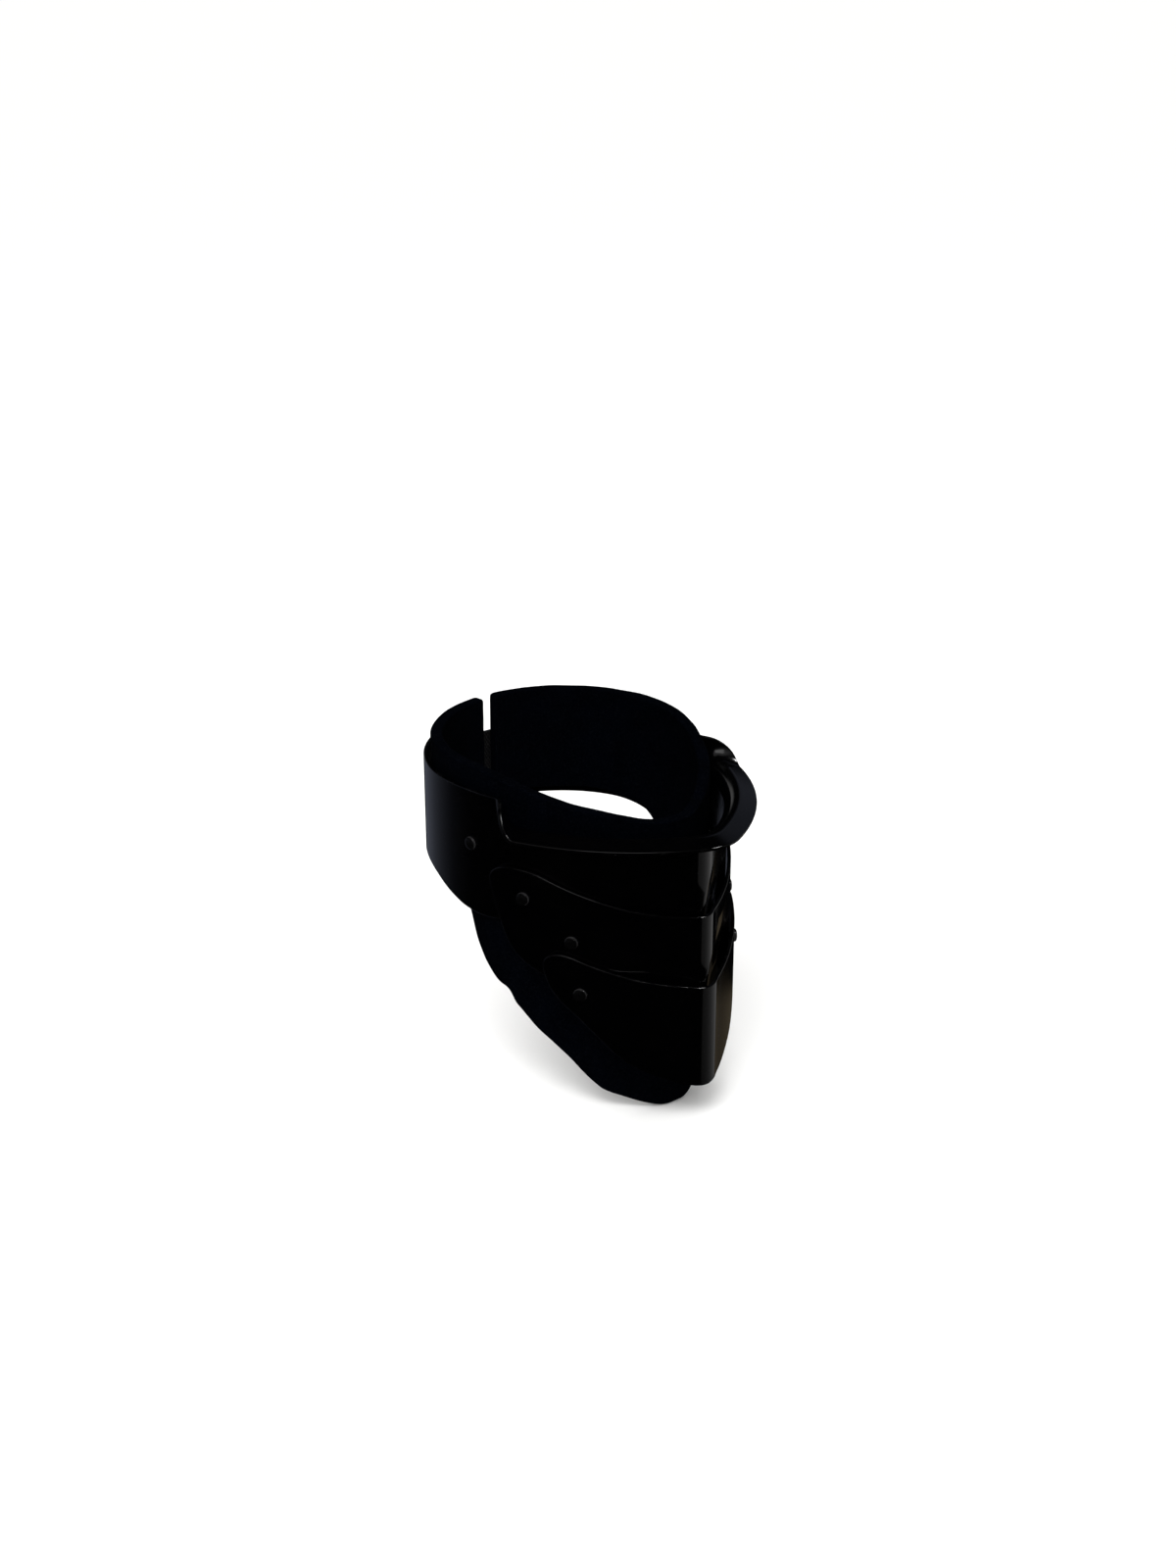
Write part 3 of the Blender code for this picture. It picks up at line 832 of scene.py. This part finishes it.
def new_points_tree(name, sizes):
    """A geometry tree that takes points and puts out a mesh, with named inputs for its sizes."""
    group = bpy.data.node_groups.new(name, "GeometryNodeTree")
    group.interface.new_socket("Points", in_out="INPUT", socket_type="NodeSocketGeometry")
    for label, default in sizes:
        socket = group.interface.new_socket(label, in_out="INPUT", socket_type=FLOAT)
        socket.default_value = default
    group.interface.new_socket("Mesh", in_out="OUTPUT", socket_type="NodeSocketGeometry")
    tree = Tree(group)
    return tree, tree.add("NodeGroupInput").outputs, tree.add("NodeGroupOutput").inputs["Mesh"]


def finish_tree(tree, parts, material, result):
    """Joins what stands on the points, makes it real and gives it its material."""
    joined = tree.add("GeometryNodeJoinGeometry")
    for part in parts:
        tree.feed(joined.inputs[0], part)
    real = tree.shape("RealizeInstances", inputs={"Geometry": joined.outputs[0]})
    smooth = tree.shape("SetShadeSmooth", inputs={"Geometry": real})
    tree.feed(result, tree.shape("SetMaterial", inputs={"Geometry": smooth, "Material": material}))
    return tree.tree


def direction_of_points(tree, label):
    return tree.shape("InputNamedAttribute", data_type="FLOAT_VECTOR", inputs={"Name": label})


def make_rivet_tree(material):
    """A tree that sets a rivet on every point: a domed head, a shank and a peened tail.

    Each point brings its outward direction and the thickness of plate that it grips.
    """
    tree, given, result = new_points_tree("rivets_on_points", (
        ("Head Radius", RIVET_HEAD_RADIUS), ("Head Height", RIVET_HEAD_HEIGHT),
        ("Shank Radius", RIVET_SHANK_RADIUS), ("Tail Radius", RIVET_TAIL_RADIUS),
        ("Tail Height", RIVET_TAIL_HEIGHT), ("Crown", RIVET_CROWN),
    ))

    def button(radius, height, sides, rings, flip):
        """A disc whose top follows a superellipse."""
        disc = tree.shape("MeshCylinder", fill_type="TRIANGLE_FAN", inputs={
            "Vertices": sides, "Side Segments": 1, "Fill Segments": rings,
            "Radius": 1.0, "Depth": 1.0})
        at = tree.split(tree.shape("InputPosition"))
        square = tree.plus(tree.times(at["X"], at["X"]), tree.times(at["Y"], at["Y"]))
        flat = tree.math("SQRT", square)
        reach = tree.math("SINE", tree.times(flat, pi / 2))
        grow = tree.math("DIVIDE", tree.times(reach, radius), tree.math("MAXIMUM", flat, 0.0001))
        left = tree.minus(1.0, tree.math("POWER", reach, given["Crown"]), clamp=True)
        lift = tree.math("POWER", left, tree.math("DIVIDE", 1.0, given["Crown"]))
        edge = tree.plus(RIVET_EDGE, tree.times(lift, 1.0 - RIVET_EDGE))
        top = tree.math("GREATER_THAN", at["Z"], 0.0)
        high = tree.times(tree.times(edge, height), top)
        if flip:
            high = tree.times(high, -1.0)
        # the shoulder mask marks the ring where the rivet material paints its highlight
        kept = tree.shape("StoreNamedAttribute", data_type="FLOAT", domain="POINT", inputs={
            "Geometry": disc, "Name": "shoulder", "Value": tree.ramp(flat, *RIVET_SHOULDER)})
        spot = tree.joined(tree.times(at["X"], grow), tree.times(at["Y"], grow), high)
        shaped = tree.shape("SetPosition", inputs={"Geometry": kept, "Position": spot})
        return tree.shape("FlipFaces", inputs={"Mesh": shaped}) if flip else shaped

    outward = direction_of_points(tree, "outward")
    grip = tree.shape("InputNamedAttribute", data_type="FLOAT", inputs={"Name": "grip"})
    turn = tree.add("FunctionNodeAlignRotationToVector", axis="Z", inputs={
        "Vector": outward}).outputs[0]
    head = button(given["Head Radius"], given["Head Height"], 40, 9, False)
    heads = tree.shape("InstanceOnPoints", inputs={
        "Points": given["Points"], "Instance": head, "Rotation": turn})
    rod = tree.shape("MeshCylinder", inputs={
        "Vertices": 20, "Radius": given["Shank Radius"], "Depth": 1.0})
    sunk = tree.shape("Transform", inputs={"Geometry": rod, "Translation": (0, 0, -0.5)})
    stretch = tree.joined(1.0, 1.0, tree.plus(grip, 0.0001))
    shanks = tree.shape("InstanceOnPoints", inputs={
        "Points": given["Points"], "Instance": sunk, "Rotation": turn, "Scale": stretch})
    inwards = tree.add("ShaderNodeVectorMath", operation="SCALE", inputs={
        "Vector": outward, "Scale": tree.times(grip, -1.0)}).outputs[0]
    back = tree.shape("SetPosition", inputs={"Geometry": given["Points"], "Offset": inwards})
    tail = button(given["Tail Radius"], given["Tail Height"], 24, 4, True)
    tails = tree.shape("InstanceOnPoints", inputs={
        "Points": back, "Instance": tail, "Rotation": turn})
    return finish_tree(tree, (tails, shanks, heads), material, result)


def make_stitch_tree(material):
    """A tree that lays one stitch of thread on every point, along the point's own run."""
    tree, given, result = new_points_tree("stitches_on_points", (
        ("Stitch Length", STITCH_LENGTH), ("Thread", STITCH_THREAD),
    ))
    bead = tree.shape("MeshUVSphere", inputs={"Segments": 12, "Rings": 8, "Radius": 0.5})
    size = tree.joined(given["Stitch Length"], given["Thread"], tree.times(given["Thread"], 0.8))
    thread = tree.shape("Transform", inputs={"Geometry": bead, "Scale": size})
    stood = tree.add("FunctionNodeAlignRotationToVector", axis="Z", inputs={
        "Vector": direction_of_points(tree, "outward")})
    turned = tree.add("FunctionNodeAlignRotationToVector", axis="X", pivot_axis="Z", inputs={
        "Rotation": stood.outputs[0], "Vector": direction_of_points(tree, "run")})
    laid = tree.shape("InstanceOnPoints", inputs={
        "Points": given["Points"], "Instance": thread, "Rotation": turned.outputs[0]})
    return finish_tree(tree, (laid,), material, result)


def grown_on_points(name, group, places, directions, grips=()):
    """What a tree makes of points with their directions, as a plain mesh in a new object."""
    mesh = bpy.data.meshes.new(name + "_points")
    mesh.from_pydata([tuple(place) for place in places], [], [])
    for label, rows in directions.items():
        mark = mesh.attributes.new(label, "FLOAT_VECTOR", "POINT")
        mark.data.foreach_set("vector", [value for row in rows for value in row])
    if grips:
        mesh.attributes.new("grip", "FLOAT", "POINT").data.foreach_set("value", grips)
    source = put_in_scene(name + "_source", mesh)
    source.modifiers.new("Points", "NODES").node_group = group
    graph = bpy.context.evaluated_depsgraph_get()
    grown = bpy.data.meshes.new_from_object(
        source.evaluated_get(graph), preserve_all_data_layers=True, depsgraph=graph)
    grown.name = name
    bpy.data.objects.remove(source, do_unlink=True)
    return put_in_scene(name, grown)


def make_stitches(group):
    """A box of stitches at each end of the strap."""
    places, outwards, runs = [], [], []
    half_width = STRAP_WIDTH / 2 - STITCH_INSET
    low, high = STRAP_HEIGHT - half_width, STRAP_HEIGHT + half_width
    for side in (-1, 1):
        far = side * (STRAP_LENGTH / 2 - STITCH_INSET)
        near = far - side * STITCH_BOX
        corners = [Vector(c) for c in ((near, low), (far, low), (far, high), (near, high))]
        for start, end in zip(corners, corners[1:] + corners[:1]):
            count = round((end - start).length / STITCH_PITCH)
            step = (end - start).normalized() * 0.0001
            for i in range(count):
                spot = start.lerp(end, (i + 0.5) / count)
                point = strap_surface(*spot)
                outward = PLATE_PLAN.place(PLATE_PLAN.half_girth + spot.x)[1]
                places.append(point + 0.00005 * outward)
                outwards.append(outward)
                runs.append((strap_surface(*(spot + step)) - point).normalized())
    return grown_on_points("strap_stitches", group, places, {"outward": outwards, "run": runs})


def make_rivets(name, rows, group):
    """The rivets of one body, on both sides."""
    places, outwards, grips = [], [], []
    for along, height, inner, outer in rows:
        for side in (-1, 1):
            point, outward = PLATE_PLAN.place(side * along)
            lift = outer * LAYER + RIVET_CLEARANCE
            places.append(point + lift * outward + Vector((0, 0, height)))
            outwards.append(outward)
            grips.append(PLATE + (outer - inner) * LAYER + 2 * RIVET_CLEARANCE)
    piece = grown_on_points(name, group, places, {"outward": outwards}, grips)
    piece.data.set_sharp_from_angle(angle=radians(50))
    return piece


# ---- stage

def make_floor():
    mesh = bpy.data.meshes.new("pale_floor")
    low, size = cad_box[0].z - 0.0005, 40.0
    corners = [(x * size, y * size, low) for x, y in ((-1, -1), (1, -1), (1, 1), (-1, 1))]
    mesh.from_pydata(corners, [], [(0, 1, 2, 3)])
    floor = put_in_scene("pale_floor", mesh)
    paint = new_material("pale_floor_paint", Base_Color=(0.90, 0.90, 0.895, 1), Roughness=1.0,
                         Specular_IOR_Level=0.0)[0]
    mesh.materials.append(paint)
    floor.visible_glossy = False


# Screens that the coat reflects. Angles are in degrees: 0 is straight out of the throat, 90 the
# wearer's left, 180 behind. Tint, start and its softness, end and its softness, low, high and their
# softness, glow at the start and at the end.
NEUTRAL, COOL, WARM = (1.0, 1.0, 1.0), (0.90, 0.98, 1.25), (1.25, 1.0, 0.66)
SCREENS = (
    (NEUTRAL, 8.0, 5.0, 97.0, 3.0, -30.0, 6.0, 15.0, 0.115, 0.37),
    (WARM, 96.0, 6.0, 170.0, 20.0, -30.4, -27.4, 0.8, 0.055, 0.055),
    (COOL, 157.0, 12.0, 205.0, 60.0, -60.0, 4.0, 12.0, 0.115, 0.10),
    (COOL, 100.0, 16.0, 131.0, 8.0, 10.0, 44.0, 10.0, 0.055, 0.055),
    (NEUTRAL, -110.0, 30.0, -10.0, 30.0, 38.0, 75.0, 20.0, 0.30, 0.30),
    # low strips that only a level view meets
    (NEUTRAL, 150.0, 8.0, 178.0, 20.0, -15.0, 20.0, 6.0, 0.24, 0.12),
    (COOL, 206.0, 12.0, 248.0, 30.0, -15.0, 20.0, 6.0, 0.08, 0.16),
    (NEUTRAL, -96.0, 12.0, -62.0, 16.0, -15.0, 18.0, 6.0, 0.12, 0.08),
)
DARK_ROOM = (0.001, 0.001, 0.0012)


def make_world():
    """A white room for the eye and for soft light, with dark and bright screens to reflect."""
    world = bpy.data.worlds.new("studio")
    bpy.context.scene.world = world
    world.use_nodes = True
    world.node_tree.nodes.clear()
    tree = Tree(world.node_tree)
    at = tree.split(tree.add("ShaderNodeTexCoord").outputs["Generated"])
    rise = tree.times(tree.math("ARCSINE", at["Z"]), 180 / pi)
    turn = tree.times(tree.math("ARCTAN2", at["X"], tree.times(at["Y"], -1.0)), 180 / pi)

    def screen(start, start_soft, end, end_soft, low, high, soft, start_glow, end_glow):
        """A soft-edged patch of light between two directions and two heights."""
        half = (end - start) / 2
        turned = tree.math("WRAP", tree.minus(turn, (start + end) / 2), 180.0, -180.0)
        after = tree.ramp(turned, -half - start_soft / 2, -half + start_soft / 2)
        before = tree.ramp(turned, half - end_soft / 2, half + end_soft / 2, 1.0, 0.0)
        above = tree.ramp(rise, low - soft / 2, low + soft / 2)
        below = tree.ramp(rise, high - soft / 2, high + soft / 2, 1.0, 0.0)
        shape = tree.times(tree.times(after, before), tree.times(above, below))
        return tree.times(shape, tree.ramp(turned, -half, half, start_glow, end_glow))

    channels = DARK_ROOM
    for tint, *place in SCREENS:
        glow = screen(*place)
        channels = [tree.plus(old, tree.times(glow, share)) for old, share in zip(channels, tint)]
    reflected = tree.add("ShaderNodeCombineColor")
    for socket, channel in zip(reflected.inputs, channels):
        tree.feed(socket, channel)

    def background(colour, strength):
        return tree.add("ShaderNodeBackground", inputs={
            "Color": colour, "Strength": strength}).outputs[0]

    def choose(share, first, second):
        node = tree.add("ShaderNodeMixShader")
        for socket, value in zip(node.inputs, (share, first, second)):
            tree.feed(socket, value)
        return node.outputs[0]

    ray = tree.add("ShaderNodeLightPath").outputs
    soft_white = background((1.0, 0.995, 0.985, 1), 0.72)
    unseen = choose(ray["Is Glossy Ray"], soft_white, background(reflected.outputs[0], 1.0))
    shown = choose(ray["Is Camera Ray"], unseen, background((1.0, 1.0, 1.0, 1), 1.05))
    tree.add("ShaderNodeOutputWorld", inputs={"Surface": shown})


# Name, place, size, power, and whether a lamp only glints or only lights
SOFTBOXES = (
    ("key_softbox", (-0.55, -0.45, 0.85), (0.5, 0.35), 5.0, False),
    ("rear_softbox", (0.55, 0.75, 0.75), (0.6, 0.3), 4.0, False),
    ("rim_softbox", (-0.50, -0.50, 0.85), (0.5, 0.35), 0.6, True),
    ("rivet_softbox", (0.40, -0.62, 0.80), (0.22, 0.22), 3.6, True),
)


def make_lights():
    """Soft lamps for the foam and the floor, and two small lamps that only glint."""
    data = bpy.data.lights.new("soft_sky_light", "SUN")
    data.energy, data.angle = 1.6, radians(50)
    sun = put_in_scene("soft_sky_light", data)
    sun.rotation_euler = (radians(34), radians(-18), radians(-20))
    sun.visible_glossy = False
    for name, place, size, power, glints in SOFTBOXES:
        data = bpy.data.lights.new(name, "AREA")
        data.shape, data.energy = "RECTANGLE", power
        data.size, data.size_y = size
        lamp = put_in_scene(name, data)
        lamp.location = place
        aim = Vector((0, -0.02, 0)) - Vector(place)
        lamp.rotation_euler = aim.to_track_quat("-Z", "Y").to_euler()
        lamp.visible_glossy = glints
        lamp.visible_diffuse = not glints


def make_camera():
    """The photograph's viewpoint, fitted to the gorget's rivets, rims and keel."""
    azimuth, elevation, distance = radians(-40.1), radians(22.0), 1.100
    # in pixels of the 1200 x 1600 photograph: focal length, frame's middle, and where the aim shows
    focal, middle, aim, long_side = 2200.0, (600.0, 800.0), (575.8, 942.9), 1600.0
    right = Vector((cos(azimuth), sin(azimuth), 0))
    ahead = Vector((-sin(azimuth) * cos(elevation), cos(azimuth) * cos(elevation), -sin(elevation)))
    up = right.cross(ahead)
    across, rise = (aim[0] - middle[0]) / focal, (middle[1] - aim[1]) / focal
    data = bpy.data.cameras.new("photo_camera")
    data.sensor_width = 36.0
    data.lens = focal * data.sensor_width / long_side
    data.clip_start = 0.01
    data.clip_end = 200.0
    camera = put_in_scene("photo_camera", data)
    place = Vector((0, 0, -0.036)) - distance * (ahead + across * right + rise * up)
    turned = Matrix((right, up, -ahead)).transposed().to_4x4()
    camera.matrix_world = Matrix.Translation(place) @ turned
    bpy.context.scene.camera = camera


# ---- the gorget

make_camera()
gloss_black = make_gloss_black()
rivet_satin = make_rivet_satin()
webbing = make_webbing()

for piece, node, body, slot, material in (
    (make_neck_plate(), "neck_plate", "collar", "plate_paint", gloss_black),
    (make_lame("gloss_middle_lame", MIDDLE_SECTIONS, MIDDLE_REACH, MIDDLE_TOP, MIDDLE_HEIGHT, 1,
               lower_rim), "middle_lame", "middle", "plate_paint", gloss_black),
    (make_lame("gloss_lower_lame", LOWER_SECTIONS, LOWER_REACH, LOWER_TOP, LOWER_HEIGHT, 2),
     "lower_lame", "lower", "plate_paint", gloss_black),
    (make_pad(), "neck_pad", "collar", "pad_foam", make_foam()),
    (make_strap(), "back_strap", "collar", "strap_webbing", webbing),
):
    piece.data.materials.append(material)
    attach(piece, body)
    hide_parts(node)

rivet_tree = make_rivet_tree(rivet_satin)
for body, kinds in (
    ("collar", ("band_rivet", "upper_pivot_rivet")),
    ("middle", ("middle_rivet", "lower_pivot_rivet")),
):
    rows = [row[:4] for row in RIVETS if row[4] == body]
    rivets = make_rivets(body + "_rivets", rows, rivet_tree)
    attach(rivets, body)
    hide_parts(*(kind + side for kind in kinds for side in ("_left", "_right")))

stitches = make_stitches(make_stitch_tree(webbing))
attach(stitches, "collar")

make_floor()
make_world()
make_lights()
bpy.context.scene.view_settings.view_transform = "Standard"
